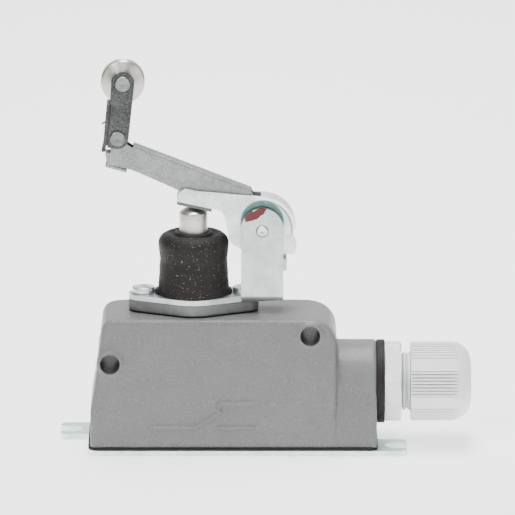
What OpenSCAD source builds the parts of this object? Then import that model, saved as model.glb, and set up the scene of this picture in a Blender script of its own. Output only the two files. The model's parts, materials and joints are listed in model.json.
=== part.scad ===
// Limit switch: cast housing, rubber-booted plunger and a sprung folding roller lever.
// Origin at the middle of the base plate's mounting face, +Z up, +X towards the cable gland.

/* [Base] */
// Length of the base plate between its two fixing tabs
plate_l = 82; // [82:0.2:83]
// Depth of the base plate, front to back
plate_w = 31.2; // [31.2:0.2:33]
// Thickness of the base plate
plate_t = 1.5; // [1.4:0.1:1.6]
// Width of a fixing tab
tab_w = 13; // [12:0.5:14]
// How far a fixing tab stands out past the plate
tab_l = 8.4; // [7:0.1:9]
// Width of the open slot in a fixing tab
slot_w = 5.6; // [4.6:0.1:6]
// Length of the open slot, from its round end to the tab's edge
slot_l = 6.3; // [5.8:0.1:6.6]
// Thickness of the base gasket
gasket_t = 0.8; // [0.7:0.05:0.9]

/* [Housing] */
// Length of the housing at its foot
case_l = 81.2; // [80.8:0.1:81.6]
// Depth of the housing at its foot
case_d = 30.6; // [30.4:0.1:31]
// Depth of the housing at its top
case_top_d = 25.6; // [25.4:0.1:26]
// Height of the housing's top face above the mounting face
case_h = 39; // [38.9:0.1:39.1]
// Thickness of the casting's walls
wall = 3; // [2.8:0.1:3.2]
// Diameter of the two fixing holes through the housing
fixing_d = 5.5; // [5:0.1:5.6]
// Height of the cable entry's axis
entry_z = 18; // [17.9:0.1:18.1]
// Radius of the arched neck around the cable entry
neck_r = 12; // [11.8:0.1:12.2]

/* [Head] */
// Distance from the housing's middle to the plunger's axis, towards the lever's free end
plunger_off = 11.2; // [11:0.1:11.4]
// Spacing of the two head screws
screw_pitch = 28.6; // [28.4:0.1:28.8]
// Thickness of the cast head flange with its gasket
flange_t = 3.6; // [3.5:0.1:3.7]
// Thickness of the stamped lever bracket
bracket_t = 1.5; // [1.4:0.1:1.6]
// Diameter of the plunger
plunger_d = 8; // [7.8:0.1:8]
// How far the plunger travels
plunger_travel = 4.85; // [4:0.05:4.85]

/* [Lever] */
// Height of the lever's pivot above the mounting face
pivot_z = 63.2; // [63.1:0.1:63.3]
// Diameter of the pivot pin
pivot_d = 3.2; // [3:0.1:3.4]
// Radius of the hub lever's rounded end
hub_r = 9.6; // [9.5:0.1:9.7]
// Slope of the pad that presses the plunger, in degrees
pad_tilt = 12.3; // [12.1:0.1:12.4]
// Slope of the arm, in degrees
arm_tilt = 21.4; // [21:0.1:21.8]
// Distance from the link's rivet to the roller's pin
link_l = 15.9; // [15:0.1:16.5]
// How far the link leans towards the pivot at rest, in degrees
link_lean = 5.4; // [4:0.1:6]
// Diameter of the roller
roller_d = 12.4; // [11.6:0.1:12.8]
// Width of the roller
roller_w = 5; // [4.6:0.1:5.1]

/* [Gland] */
// Width across flats of the gland's hexagon
hex_af = 22; // [21:0.5:23]
// Diameter of the cap nut
nut_d = 22.8; // [22.4:0.1:23]
// Diameter of the cable hole through the seal
cable_d = 10; // [8:0.5:10]

/* [Hidden] */
$fn = 64;

gap = 0.02;                         // parts of one body that face each other
run = 0.05;                         // radial clearance of a shaft in its hole

// Base
gasket_z = plate_t;
case_z = plate_t + gasket_t;
corner_r = 3;
base_screw_x = 36.2;
base_screw_y = 10.8;
base_screw_r = 1.25;
base_head_r = 2.4;
base_screw_l = 9;

// Housing
front_y = case_d / 2;
top_y = case_top_d / 2;
step_x = 29.4;                      // where the tall part of the housing ends and the neck begins
lean_top_x = -37.3;                 // left side where it reaches the top corner
left_corner_r = 3.4;
right_corner_r = 7;
edge_r = 1.3;
left_hole = [-34.9, 26.5];          // X and Z of a fixing hole's axis
right_hole = [21.9, 34.6];
boss_r = 3.3;
left_boss_y = 14;
right_boss_y = 13.3;
column_r = fixing_d / 2 + 1.9;
cavity_y = 11;
cavity_top = case_h - wall - 0.5;
cavity_left = -29.4;
cavity_right = 27;
entry_r = 8;
pillar_r = 2.8;

// Head
head_x = -plunger_off;
head_screw_dx = screw_pitch / 2;
head_gasket_t = 0.4;
bracket_z = case_h + flange_t;
bracket_top = bracket_z + bracket_t;
flange_mid_r = 10.4;
flange_end_r = 4.2;
spigot_r = 8.4;
spigot_l = 5;
head_screw_r = 1.95;
head_head_r = 3.2;
head_head_h = 1.8;
plunger_r = plunger_d / 2;
bush_r = 5.6;
bush_z0 = 36.8;
bush_z1 = 47;
boot_base_r = 10.3;
boot_foot_h = 0.9;
boot_wall = 1.2;

// Lever bracket
pivot_x = 8.3;
ear_y = 5.2;
ear_half_w = 6;
ear_arch_z = pivot_z + 0.6;
stop_z = 51.5;
stop_h = 3.5;

// Contacts
block_w = 18;
block_half_l = 16.2;
block_z0 = 5;
plunger_z0 = 25.4;
block_z1 = plunger_z0 - plunger_travel - 0.55;
slot_half_w = 3.3;
bridge_half_l = 9.1;
contact_dx = 7.6;
contact_r = 1.5;
contact_h = 0.5;
strip_t = 1;
strip_half_l = 21.6;
bridge_z = 12;
bridge_t = 0.9;
bridge_travel = 3.6;
nc_z = bridge_z + bridge_t + 2 * contact_h + gap;
no_z = bridge_z - 2 * contact_h - bridge_travel - gap - strip_t;
terminal_dx = 19.2;
terminal_dy = 3.5;
rod_r = 1.4;
rod_z0 = 7.2;
collar_z = 35.6;
collar_t = 1;
collar_r = 5.4;

// Lever
hub_y = 3.5;
sheet_t = 1.1;
arm_y = 2.4;
arm_sheet = 0.9;
pad_mid_z = 69.5;                   // underside of the pad above the plunger's axis
pad_x0 = -15.9;
pad_x1 = -6;
pad_t = 0.9;
rivet = [-32.6, 89.8];              // X and Z of the link's rivet
rivet_r = 1.2;
roller_at = rivet + link_l * [sin(link_lean), cos(link_lean)];
roller_r = roller_d / 2;
roller_pin_r = 1.5;
link_in_y = 2.7;
link_sheet = 1;
link_r = 3.1;
link_back = 2.5;                    // from the rivet's axis to the inside of the link's back
link_back_l = 11.2;
arm_rivet_at = [[-9.6, 72.6], [1.6, 71.6]];
arm_rivet_r = 0.9;

// Gland
washer_x = case_l / 2 + 0.3;
hex_x = washer_x + 2.3;
collar_x = hex_x + 4.7;
nut_x0 = collar_x + 2.7;
nut_x1 = 67.8;
nut_dome_r = 6;
thread_r = 7.9;
neck_thread_r = 8.3;

/* Shapes used by several parts */

// Points of an arc about c, from angle a0 to a1
function arc(c, r, a0, a1, n = 8) =
    [for (i = [0 : n]) c + r * [cos(a0 + (a1 - a0) * i / n), sin(a0 + (a1 - a0) * i / n)]];

// Extrudes an X-Z outline from y0 to y1
module xz_extrude(y0, y1) {
    translate([0, y1, 0]) rotate([90, 0, 0]) linear_extrude(y1 - y0) children();
}

// Extrudes a Y-Z outline from x0 to x1
module yz_extrude(x0, x1) {
    translate([x0, 0, 0]) rotate([90, 0, 90]) linear_extrude(x1 - x0) children();
}

module x_cyl(r, x0, x1, y = 0, z = 0) {
    translate([x0, y, z]) rotate([0, 90, 0]) cylinder(r = r, h = x1 - x0);
}

module y_cyl(r, y0, y1, at) {
    translate([at[0], y0, at[1]]) rotate([-90, 0, 0]) cylinder(r = r, h = y1 - y0);
}

module z_cyl(r, z0, z1, at = [0, 0]) {
    translate([at[0], at[1], z0]) cylinder(r = r, h = z1 - z0);
}

// A helical wire about Z from z0 to z1, as one swept tube of eight sides
module coil(mid_r, wire_r, turns, z0, z1) {
    sides = 8;
    steps = turns * 16;
    rise = (z1 - z0 - 2 * wire_r) / steps;
    pts = [for (i = [0 : steps], j = [0 : sides - 1])
        let (a = 22.5 * i, b = 360 * j / sides, r = mid_r + wire_r * cos(b))
        [r * cos(a), r * sin(a), z0 + wire_r + rise * i + wire_r * sin(b)]];
    skin = [for (i = [0 : steps - 1], j = [0 : sides - 1])
        let (k = (j + 1) % sides, p = i * sides)
        [p + j, p + sides + j, p + sides + k, p + k]];
    ends = [[for (j = [0 : sides - 1]) j], [for (j = [sides - 1 : -1 : 0]) steps * sides + j]];
    polyhedron(points = pts, faces = concat(skin, ends));
}

// Plan of the base: a rounded rectangle grown by d
module foot_outline(d = 0) {
    x = plate_l / 2 + d - corner_r;
    y = plate_w / 2 + d - corner_r;
    polygon(concat(
        arc([x, y], corner_r, 0, 90), arc([-x, y], corner_r, 90, 180),
        arc([-x, -y], corner_r, 180, 270), arc([x, -y], corner_r, 270, 360)));
}

// Plan of the two-screw head: a round middle with tangents to a smaller round end each side
module head_outline(d = 0) {
    mid = flange_mid_r + d;
    end = flange_end_r + d;
    dip = asin((mid - end) / head_screw_dx);
    polygon(concat(
        arc([head_screw_dx, 0], end, dip - 90, 90 - dip),
        arc([0, 0], mid, 90 - dip, 90 + dip),
        arc([-head_screw_dx, 0], end, 90 + dip, 270 - dip),
        arc([0, 0], mid, 270 - dip, 270 + dip)));
}

module at_base_screws() {
    for (x = [-1, 1], y = [-1, 1]) translate([x * base_screw_x, y * base_screw_y, 0]) children();
}

module at_head_screws() {
    for (s = [-1, 1]) translate([head_x + s * head_screw_dx, 0, 0]) children();
}

module at_block_screws() {
    for (s = [-1, 1]) translate([head_x + s * 12.6, s * 6, 0]) children();
}

/* Base */

// One tab with its slot open at the outer end; side is 1 for the right, -1 for the left
module tab(side) {
    x0 = plate_l / 2 - 4;
    x1 = plate_l / 2 + tab_l;
    mid_y = plate_w / 2 - tab_w / 2;
    r = 2;
    rotate([0, 0, side > 0 ? 0 : 180]) translate([0, -mid_y, 0]) difference() {
        linear_extrude(plate_t) polygon(concat(
            [[x0, -tab_w / 2]], arc([x1 - r, r - tab_w / 2], r, -90, 0),
            arc([x1 - r, tab_w / 2 - r], r, 0, 90), [[x0, tab_w / 2]]));
        translate([x1 - slot_l + slot_w / 2, 0, -1]) {
            cylinder(d = slot_w, h = plate_t + 2);
            translate([0, -slot_w / 2, 0]) cube([slot_l, slot_w, plate_t + 2]);
        }
    }
}

module base_plate() {
    color("lightsteelblue") difference() {
        union() {
            linear_extrude(plate_t) foot_outline();
            tab(1);
            tab(-1);
        }
        at_base_screws() {
            z_cyl(base_screw_r + run, -1, plate_t + 1);
            translate([0, 0, -gap]) cylinder(r1 = base_head_r + gap, r2 = base_screw_r, h = 1.3);
        }
    }
}

module base_gasket() {
    color([0.15, 0.15, 0.16]) translate([0, 0, gasket_z]) difference() {
        linear_extrude(gasket_t) foot_outline(0.2);
        translate([-32.5, -cavity_y, -1]) cube([64.5, 2 * cavity_y, gasket_t + 2]);
        at_base_screws() z_cyl(base_screw_r + run, -1, gasket_t + 1);
    }
}

module base_screws() {
    color("silver") at_base_screws() {
        cylinder(r1 = base_head_r, r2 = base_screw_r, h = 1.25);
        z_cyl(base_screw_r, 1, base_screw_l);
    }
}

/* Housing */

// Side outline of the tall part of the housing, as X and Z
module tall_outline() {
    polygon(concat(
        [[step_x, case_z], [-case_l / 2, case_z], [0.1 - case_l / 2, 13], [-39.5, 19], [-38.4, 27]],
        arc([lean_top_x + left_corner_r, case_h - left_corner_r], left_corner_r, 180, 90),
        arc([step_x - right_corner_r, case_h - right_corner_r], right_corner_r, 90, 0)));
}

// End outline of the housing, as Y and Z: sides that lean in, and rounded top edges
module end_outline() {
    x = top_y - edge_r;
    polygon(concat(
        [[-front_y, case_z], [front_y, case_z]],
        arc([x, case_h - edge_r], edge_r, 0, 90, 4),
        arc([-x, case_h - edge_r], edge_r, 90, 180, 4)));
}

module neck_outline() {
    circle(r = neck_r);
    polygon([
        [0.05 - front_y, case_z - entry_z], [front_y - 0.05, case_z - entry_z],
        [neck_r, 0], [-neck_r, 0]]);
}

module housing_shell() {
    intersection() {
        xz_extrude(-front_y, front_y) tall_outline();
        yz_extrude(-case_l / 2, step_x) end_outline();
    }
    translate([0, 0, entry_z]) yz_extrude(step_x - 1, case_l / 2 + 0.3) neck_outline();
    y_cyl(boss_r, -left_boss_y, left_boss_y, left_hole);
    y_cyl(boss_r, -right_boss_y, right_boss_y, right_hole);
}

module housing_cavity() {
    difference() {
        union() {
            translate([cavity_left, -cavity_y, 0])
                cube([cavity_right - cavity_left, 2 * cavity_y, cavity_top]);
            translate([-37, -8, 0]) cube([9, 16, 19.5]);
            translate([cavity_right - 1, -7.2, 0]) cube([10.4, 14.4, entry_z - 3]);
        }
        y_cyl(column_r, -cavity_y - 1, cavity_y + 1, right_hole);
        at_block_screws() z_cyl(pillar_r, block_z1, case_h);
        at_head_screws() z_cyl(pillar_r + 1.2, case_h - 11, case_h);
        z_cyl(pillar_r, 14, case_h, [18, 8.2]);
    }
}

module housing() {
    color([0.58, 0.59, 0.6]) difference() {
        housing_shell();
        housing_cavity();
        z_cyl(spigot_r + run, cavity_top - 1, case_h + 1, [head_x, 0]);
        y_cyl(fixing_d / 2, -20, 20, left_hole);
        y_cyl(fixing_d / 2, -20, 20, right_hole);
        x_cyl(entry_r, cavity_right - 1, case_l, 0, entry_z);
        at_base_screws() z_cyl(base_screw_r, 0, base_screw_l + 1);
        at_head_screws() z_cyl(head_screw_r, case_h - 9, case_h + 1);
        at_block_screws() z_cyl(1.5, block_z1 - 1, block_z1 + 8);
        z_cyl(1.5, 13, 22, [18, 8.2]);
    }
}

/* Head */

module head_gasket() {
    color([0.12, 0.12, 0.12]) translate([head_x, 0, case_h]) difference() {
        linear_extrude(head_gasket_t) head_outline(-0.2);
        z_cyl(spigot_r + run, -1, 2);
        for (s = [-1, 1]) z_cyl(head_screw_r + run, -1, 2, [s * head_screw_dx, 0]);
    }
}

module head_flange() {
    color([0.5, 0.51, 0.51]) translate([head_x, 0, 0]) difference() {
        union() {
            translate([0, 0, case_h + head_gasket_t])
                linear_extrude(flange_t - head_gasket_t) head_outline();
            z_cyl(spigot_r, case_h - spigot_l, case_h + 1);
        }
        z_cyl(bush_r, bush_z0, bracket_z + 1);
        z_cyl(collar_r + 0.7, case_h - spigot_l - 1, bush_z0 + gap);
        for (s = [-1, 1]) z_cyl(head_screw_r + run, case_h, bracket_z + 1, [s * head_screw_dx, 0]);
    }
}

// Stamped bracket: a plate on the flange, two ears for the pivot and a stop bar between them
module lever_bracket() {
    color([0.8, 0.83, 0.84]) difference() {
        union() {
            translate([head_x, 0, bracket_z]) linear_extrude(bracket_t) head_outline();
            translate([pivot_x - ear_half_w, -ear_y, bracket_z])
                cube([2 * ear_half_w, 2 * ear_y, bracket_t]);
            for (s = [-1, 1]) xz_extrude(
                s > 0 ? ear_y - bracket_t : -ear_y, s > 0 ? ear_y : bracket_t - ear_y)
                polygon(concat(
                    [[pivot_x + ear_half_w, bracket_z]],
                    arc([pivot_x, ear_arch_z], ear_half_w, 0, 180, 16),
                    [[pivot_x - ear_half_w, bracket_z]]));
            translate([pivot_x + ear_half_w - 1, -ear_y, stop_z]) cube([2, 2 * ear_y, stop_h]);
        }
        z_cyl(boot_base_r - boot_wall, bracket_z - 1, bracket_top + 1, [head_x, 0]);
        at_head_screws() z_cyl(head_screw_r + run, bracket_z - 1, bracket_top + 1);
        y_cyl(pivot_d / 2, -ear_y - 1, ear_y + 1, [pivot_x, pivot_z]);
    }
}

module head_screws() {
    color("gainsboro") at_head_screws() difference() {
        union() {
            z_cyl(head_head_r, bracket_top, bracket_top + head_head_h);
            z_cyl(head_screw_r, case_h - 8, bracket_top + 1);
        }
        translate([-head_head_r, -0.5, bracket_top + head_head_h - 0.9])
            cube([2 * head_head_r, 1, 1]);
    }
}

module guide_bush() {
    color([0.75, 0.62, 0.35]) translate([head_x, 0, 0]) difference() {
        z_cyl(bush_r, bush_z0, bush_z1);
        z_cyl(plunger_r + run, bush_z0 - 1, bush_z1 + 1);
    }
}

// Rubber sleeve from the bracket up to the plunger: a waisted wall, a rounded shoulder and a lip
module boot() {
    lip_r = plunger_r + 0.06;
    outer = concat(
        [[boot_base_r, bracket_top], [boot_base_r, bracket_top + boot_foot_h], [9.8, 49.5], [9.5, 54]],
        arc([6.9, 58.6], 3.1, -15, 80, 6), [[5.9, 61.2], [5.4, 62]]);
    inner = concat(
        [[lip_r, 62], [lip_r, 60.2]],
        arc([6.9, 58.2], 1.8, 100, -15, 5),
        [[8.1, 54], [8.5, 49.5], [boot_base_r - boot_wall, bracket_top + boot_foot_h],
         [boot_base_r - boot_wall, bracket_top]]);
    color([0.13, 0.12, 0.12]) translate([head_x, 0, 0]) rotate_extrude() polygon(concat(outer, inner));
}

module pivot_pin() {
    color("silver") {
        y_cyl(pivot_d / 2, -ear_y - 0.3, ear_y + 0.3, [pivot_x, pivot_z]);
        y_cyl(pivot_d / 2 + 0.35, ear_y, ear_y + 0.5, [pivot_x, pivot_z]);
    }
}

/* Contacts inside the housing */

module contact_block() {
    color([0.3, 0.16, 0.1]) translate([head_x, 0, 0]) difference() {
        translate([-block_half_l, -block_w / 2, block_z0])
            cube([2 * block_half_l, block_w, block_z1 - block_z0]);
        translate([-bridge_half_l - 0.6, -slot_half_w, block_z0 - 1])
            cube([2 * bridge_half_l + 1.2, 2 * slot_half_w, 13]);
        z_cyl(3, block_z0, block_z1 + 1);
        for (s = [-1, 1]) {
            translate([s * 12.6, s * 6, 0]) {
                z_cyl(1.5 + run, block_z0 - 1, block_z1 + 1);
                z_cyl(2.9, block_z0 - 1, block_z0 + 2.4);
            }
            for (z = [nc_z, no_z]) translate([s > 0 ? 9 : -20, -2.6, z - gap])
                cube([11, 5.2, strip_t + 2 * gap]);
        }
    }
}

// Two fixed contacts on their strips at height z; face is 1 when they face up, -1 when down
module fixed_contacts(z, face) {
    translate([head_x, 0, 0]) for (s = [-1, 1]) difference() {
        union() {
            translate([s > 0 ? 5.8 : -strip_half_l, -2.4, z]) cube([strip_half_l - 5.8, 4.8, strip_t]);
            translate([s > 0 ? 16.6 : -strip_half_l, face > 0 ? -6.2 : -2.4, z])
                cube([strip_half_l - 16.6, 8.6, strip_t]);
            z_cyl(contact_r, face > 0 ? z : z - contact_h, face > 0 ? z + strip_t + contact_h : z + strip_t,
                [s * contact_dx, 0]);
        }
        z_cyl(1.3, z - 1, z + strip_t + 1, [s * terminal_dx, -face * terminal_dy]);
    }
}

module nc_contacts() {
    color([0.8, 0.6, 0.3]) fixed_contacts(nc_z, -1);
}

module no_contacts() {
    color([0.8, 0.6, 0.3]) fixed_contacts(no_z, 1);
}

module terminal_screws() {
    color("silver") translate([head_x, 0, 0]) for (s = [-1, 1], level = [[nc_z, 1], [no_z, -1]])
        translate([s * terminal_dx, level[1] * terminal_dy, level[0]]) {
            z_cyl(1.25, -1, strip_t + 1.6);
            z_cyl(2.3, -2.2, 0);
        }
}

module block_screws() {
    color("silver") at_block_screws() {
        z_cyl(1.45, block_z0 + 1, block_z1 + 7);
        z_cyl(2.6, block_z0 + 0.4, block_z0 + 2.4);
    }
}

module earth_screw() {
    color([0.8, 0.65, 0.3]) translate([18, 8.2, 0]) {
        z_cyl(1.45, 12, 21);
        z_cyl(2.7, 10, 12);
        difference() {
            z_cyl(2.8, 13.2, 14 - gap);
            z_cyl(1.4, 13, 15);
        }
    }
}

module return_spring() {
    color("gainsboro") translate([head_x, 0, 0])
        coil(4.8, 0.4, 7, block_z1 + gap, collar_z - gap);
}

/* Gland */

module gland_washer() {
    color([0.08, 0.08, 0.08]) difference() {
        x_cyl(11.9, washer_x, hex_x, 0, entry_z);
        x_cyl(entry_r, washer_x - 1, hex_x + 1, 0, entry_z);
    }
}

module gland_body() {
    color([0.8, 0.81, 0.81]) difference() {
        union() {
            x_cyl(thread_r, 30, hex_x + 1, 0, entry_z);
            translate([hex_x, 0, entry_z]) rotate([-11, 0, 0]) rotate([0, 90, 0]) rotate([0, 0, 90])
                cylinder(d = hex_af / cos(30), h = collar_x - hex_x, $fn = 6);
            x_cyl(neck_thread_r, collar_x - 1, 60, 0, entry_z);
        }
        x_cyl(cable_d / 2 + 0.6, 29, 62, 0, entry_z);
        x_cyl(7.1, 55, 61, 0, entry_z);
    }
}

// Clamping fingers that the cap nut presses onto the seal
module gland_claw() {
    color([0.75, 0.76, 0.76]) difference() {
        x_cyl(8.2, 60.1, 63.6, 0, entry_z);
        x_cyl(7.1, 60, 64, 0, entry_z);
        for (i = [0 : 11]) translate([61.4, 0, entry_z]) rotate([30 * i, 0, 0])
            translate([0, -0.4, 6]) cube([4, 0.8, 4]);
    }
}

module gland_seal() {
    color([0.1, 0.1, 0.1]) difference() {
        x_cyl(7, 55.1, 64, 0, entry_z);
        x_cyl(cable_d / 2, 54, 65, 0, entry_z);
    }
}

module gland_nut() {
    r = nut_d / 2;
    color([0.82, 0.83, 0.83]) translate([0, 0, entry_z]) rotate([0, 90, 0]) difference() {
        rotate_extrude() polygon(concat(
            [[6.4, nut_x1], [neck_thread_r + 0.1, nut_x1 - 3.4], [neck_thread_r + 0.1, nut_x0], [r, nut_x0]],
            arc([r - nut_dome_r, nut_x1 - nut_dome_r], nut_dome_r, 0, 90)));
        for (i = [0 : 5]) rotate([0, 0, 60 * i - 9.3]) translate([r - 0.45, -4, nut_x0 - 1]) cube([2, 8, 12]);
    }
}

/* Plunger */

module plunger() {
    rim_z = 67.6;
    cap_h = 1.7;
    cap_r = (plunger_r * plunger_r + cap_h * cap_h) / (2 * cap_h);
    color([0.78, 0.75, 0.7]) translate([head_x, 0, 0]) {
        difference() {
            z_cyl(plunger_r, plunger_z0, rim_z);
            z_cyl(rod_r, plunger_z0 - 1, plunger_z0 + 3);
        }
        intersection() {
            translate([0, 0, rim_z + cap_h - cap_r]) sphere(r = cap_r);
            z_cyl(plunger_r, rim_z, rim_z + cap_h + 1);
        }
    }
}

module plunger_collar() {
    color("silver") translate([head_x, 0, 0]) difference() {
        z_cyl(collar_r, collar_z, collar_z + collar_t);
        z_cyl(plunger_r, collar_z - 1, collar_z + collar_t + 1);
    }
}

module push_rod() {
    color([0.85, 0.83, 0.78]) translate([head_x, 0, 0]) {
        z_cyl(rod_r, rod_z0, plunger_z0 + 2.9);
        z_cyl(2.6, 17.2, 18);
    }
}

module rod_clip() {
    color("silver") translate([head_x, 0, 0]) difference() {
        z_cyl(2.6, rod_z0 + 0.1, rod_z0 + 0.7);
        z_cyl(rod_r, rod_z0 - 1, rod_z0 + 2);
    }
}

module contact_bridge() {
    color([0.8, 0.5, 0.3]) translate([head_x, 0, 0]) difference() {
        translate([-bridge_half_l, -2.2, bridge_z]) cube([2 * bridge_half_l, 4.4, bridge_t]);
        z_cyl(rod_r + 0.1, bridge_z - 1, bridge_z + bridge_t + 1);
    }
}

module bridge_contacts() {
    color([0.9, 0.9, 0.88]) translate([head_x, 0, 0]) for (s = [-1, 1]) {
        z_cyl(contact_r, bridge_z - contact_h, bridge_z, [s * contact_dx, 0]);
        z_cyl(contact_r, bridge_z + bridge_t, bridge_z + bridge_t + contact_h, [s * contact_dx, 0]);
    }
}

module upper_spring() {
    color("gainsboro") translate([head_x, 0, 0])
        coil(2, 0.2, 4, bridge_z + bridge_t + gap, 17.2 - gap);
}

module lower_spring() {
    color("gainsboro") translate([head_x, 0, 0])
        coil(2, 0.2, 4, rod_z0 + 0.7 + gap, bridge_z - gap);
}

/* Lever */

// Side outline of a hub lever cheek: nose over the plunger, round hub about the pivot, and tail
module cheek_outline() {
    slope = tan(pad_tilt);
    pad_end = pad_mid_z + pad_t + slope * (head_x - pad_x1);
    pad_start = pad_mid_z + pad_t + slope * (head_x - pad_x0);
    polygon(concat(
        [[pad_x0, pad_start]], arc([pad_x0 + 3, pad_start + 0.9], 3, 180, 100, 5),
        [[-11, 74.5]],
        arc([pivot_x, pivot_z], hub_r, 92, 0, 10),
        [[16.9, 61.2], [18, 58.4], [17.7, 56.2], [14.6, 56.2], [8, 56.8], [2.6, 57.4]],
        arc([2.8, 62], 4.2, 250, 180, 4), [[-2.4, 66.6]],
        arc([-5.2, 66], 2.9, 30, 80, 3), [[pad_x1, pad_end]]));
}

// Round end of the hub lever, kept to the right of its cheeks' flat top
module hub_web() {
    difference() {
        xz_extrude(-hub_y, hub_y) polygon(concat(
            [[pivot_x, pivot_z]], arc([pivot_x, pivot_z], hub_r, 92, 0, 10), [[16.9, 61.2]]));
        y_cyl(hub_r - sheet_t, -hub_y - 1, hub_y + 1, [pivot_x, pivot_z]);
    }
}

module hub_lever() {
    slope = tan(pad_tilt);
    color([0.78, 0.81, 0.82]) difference() {
        union() {
            for (y = [-hub_y, hub_y - sheet_t]) xz_extrude(y, y + sheet_t) cheek_outline();
            hub_web();
            xz_extrude(-hub_y, hub_y) polygon([
                [pad_x0, pad_mid_z + slope * (head_x - pad_x0)],
                [pad_x1, pad_mid_z + slope * (head_x - pad_x1)],
                [pad_x1, pad_mid_z + slope * (head_x - pad_x1) + pad_t],
                [pad_x0, pad_mid_z + slope * (head_x - pad_x0) + pad_t]]);
        }
        y_cyl(pivot_d / 2 + run, -hub_y - 1, hub_y + 1, [pivot_x, pivot_z]);
        for (at = arm_rivet_at) y_cyl(arm_rivet_r, -hub_y - 1, hub_y + 1, at);
    }
}

// Side outline of the arm: a long leaning strip with a lug for the link's rivet
module arm_outline() {
    top_z = 88.1;
    slope = tan(arm_tilt);
    polygon([
        [-36.2, 85.3], [-34.6, 85.3], [-34.6, 88], [-30.4, 88.5],
        [-29.3, top_z], [5, top_z - slope * 34.3], [6, 72.4], [3, 70.2],
        [-8, 71.2], [-15.6, 74.4], [-29.3, 80.6], [-35.6, 82]]);
}

// Open-bottomed channel: two cheeks and the top between them
module lever_arm() {
    slope = tan(arm_tilt);
    color([0.62, 0.63, 0.63]) difference() {
        union() {
            for (y = [-arm_y, arm_y - arm_sheet]) xz_extrude(y, y + arm_sheet) {
                arm_outline();
                translate(rivet) circle(r = 2.3);
            }
            xz_extrude(-arm_y, arm_y) polygon([
                [-27.5, 88.1 - slope * 1.8], [5, 88.1 - slope * 34.3],
                [5, 87 - slope * 34.3], [-27.5, 87 - slope * 1.8]]);
        }
        y_cyl(rivet_r, -arm_y - 1, arm_y + 1, rivet);
        for (at = arm_rivet_at) y_cyl(arm_rivet_r, -arm_y - 1, arm_y + 1, at);
    }
}

// Rivets that hold the arm between the hub lever's cheeks
module arm_rivets() {
    color("silver") for (at = arm_rivet_at) y_cyl(arm_rivet_r, -hub_y - 0.15, hub_y + 0.15, at);
}

module link_rivet() {
    head_y = link_in_y + link_sheet + run;
    color([0.4, 0.41, 0.42]) {
        y_cyl(rivet_r, -head_y, head_y, rivet);
        for (y = [-head_y - 0.8, head_y]) y_cyl(2.2, y, y + 0.8, rivet);
    }
}

/* Link and roller */

module link_outline() {
    turn = link_lean;
    polygon(concat(
        arc(roller_at, link_r + 0.2, -turn, 180 - turn, 14),
        arc(rivet, link_r, 180 - turn, 360 - turn, 14)));
}

module roller_link() {
    out_y = link_in_y + link_sheet;
    color([0.36, 0.37, 0.37]) difference() {
        union() {
            for (y = [-out_y, link_in_y]) xz_extrude(y, y + link_sheet) link_outline();
            xz_extrude(-out_y, out_y) translate(rivet) rotate(-link_lean)
                translate([-link_back - link_sheet, -2.7]) square([link_sheet, link_back_l]);
            xz_extrude(-arm_y, arm_y) translate(rivet) rotate(-link_lean)
                translate([-3.9, -4.4]) square([2, 1.8]);
        }
        y_cyl(rivet_r + run, -out_y - 1, out_y + 1, rivet);
        y_cyl(roller_pin_r, -out_y - 1, out_y + 1, roller_at);
    }
}

// Torsion spring on the rivet that holds the link upright
module link_spring() {
    color("gainsboro") translate([rivet[0], 1.3, rivet[1]]) rotate([90, 0, 0])
        coil(1.75, 0.25, 4, 0, 2.6);
}

module roller_pin() {
    head_y = link_in_y + link_sheet + gap;
    color([0.5, 0.5, 0.5]) {
        y_cyl(roller_pin_r, -head_y, head_y, roller_at);
        for (y = [-head_y - 0.7, head_y]) y_cyl(2.15, y, y + 0.7, roller_at);
    }
}

module roller() {
    color([0.72, 0.71, 0.68]) difference() {
        y_cyl(roller_r, -roller_w / 2, roller_w / 2, roller_at);
        y_cyl(roller_pin_r + run, -roller_w, roller_w, roller_at);
    }
}

base_plate();
base_gasket();
base_screws();
housing();
head_gasket();
head_flange();
lever_bracket();
head_screws();
guide_bush();
boot();
pivot_pin();
contact_block();
nc_contacts();
no_contacts();
terminal_screws();
block_screws();
earth_screw();
return_spring();
gland_washer();
gland_body();
gland_seal();
gland_claw();
gland_nut();
plunger();
plunger_collar();
push_rod();
rod_clip();
contact_bridge();
bridge_contacts();
upper_spring();
lower_spring();
hub_lever();
lever_arm();
arm_rivets();
link_rivet();
roller_link();
link_spring();
roller_pin();
roller();
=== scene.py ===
import json
import math

import bmesh
import bpy
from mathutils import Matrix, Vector, noise


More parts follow.
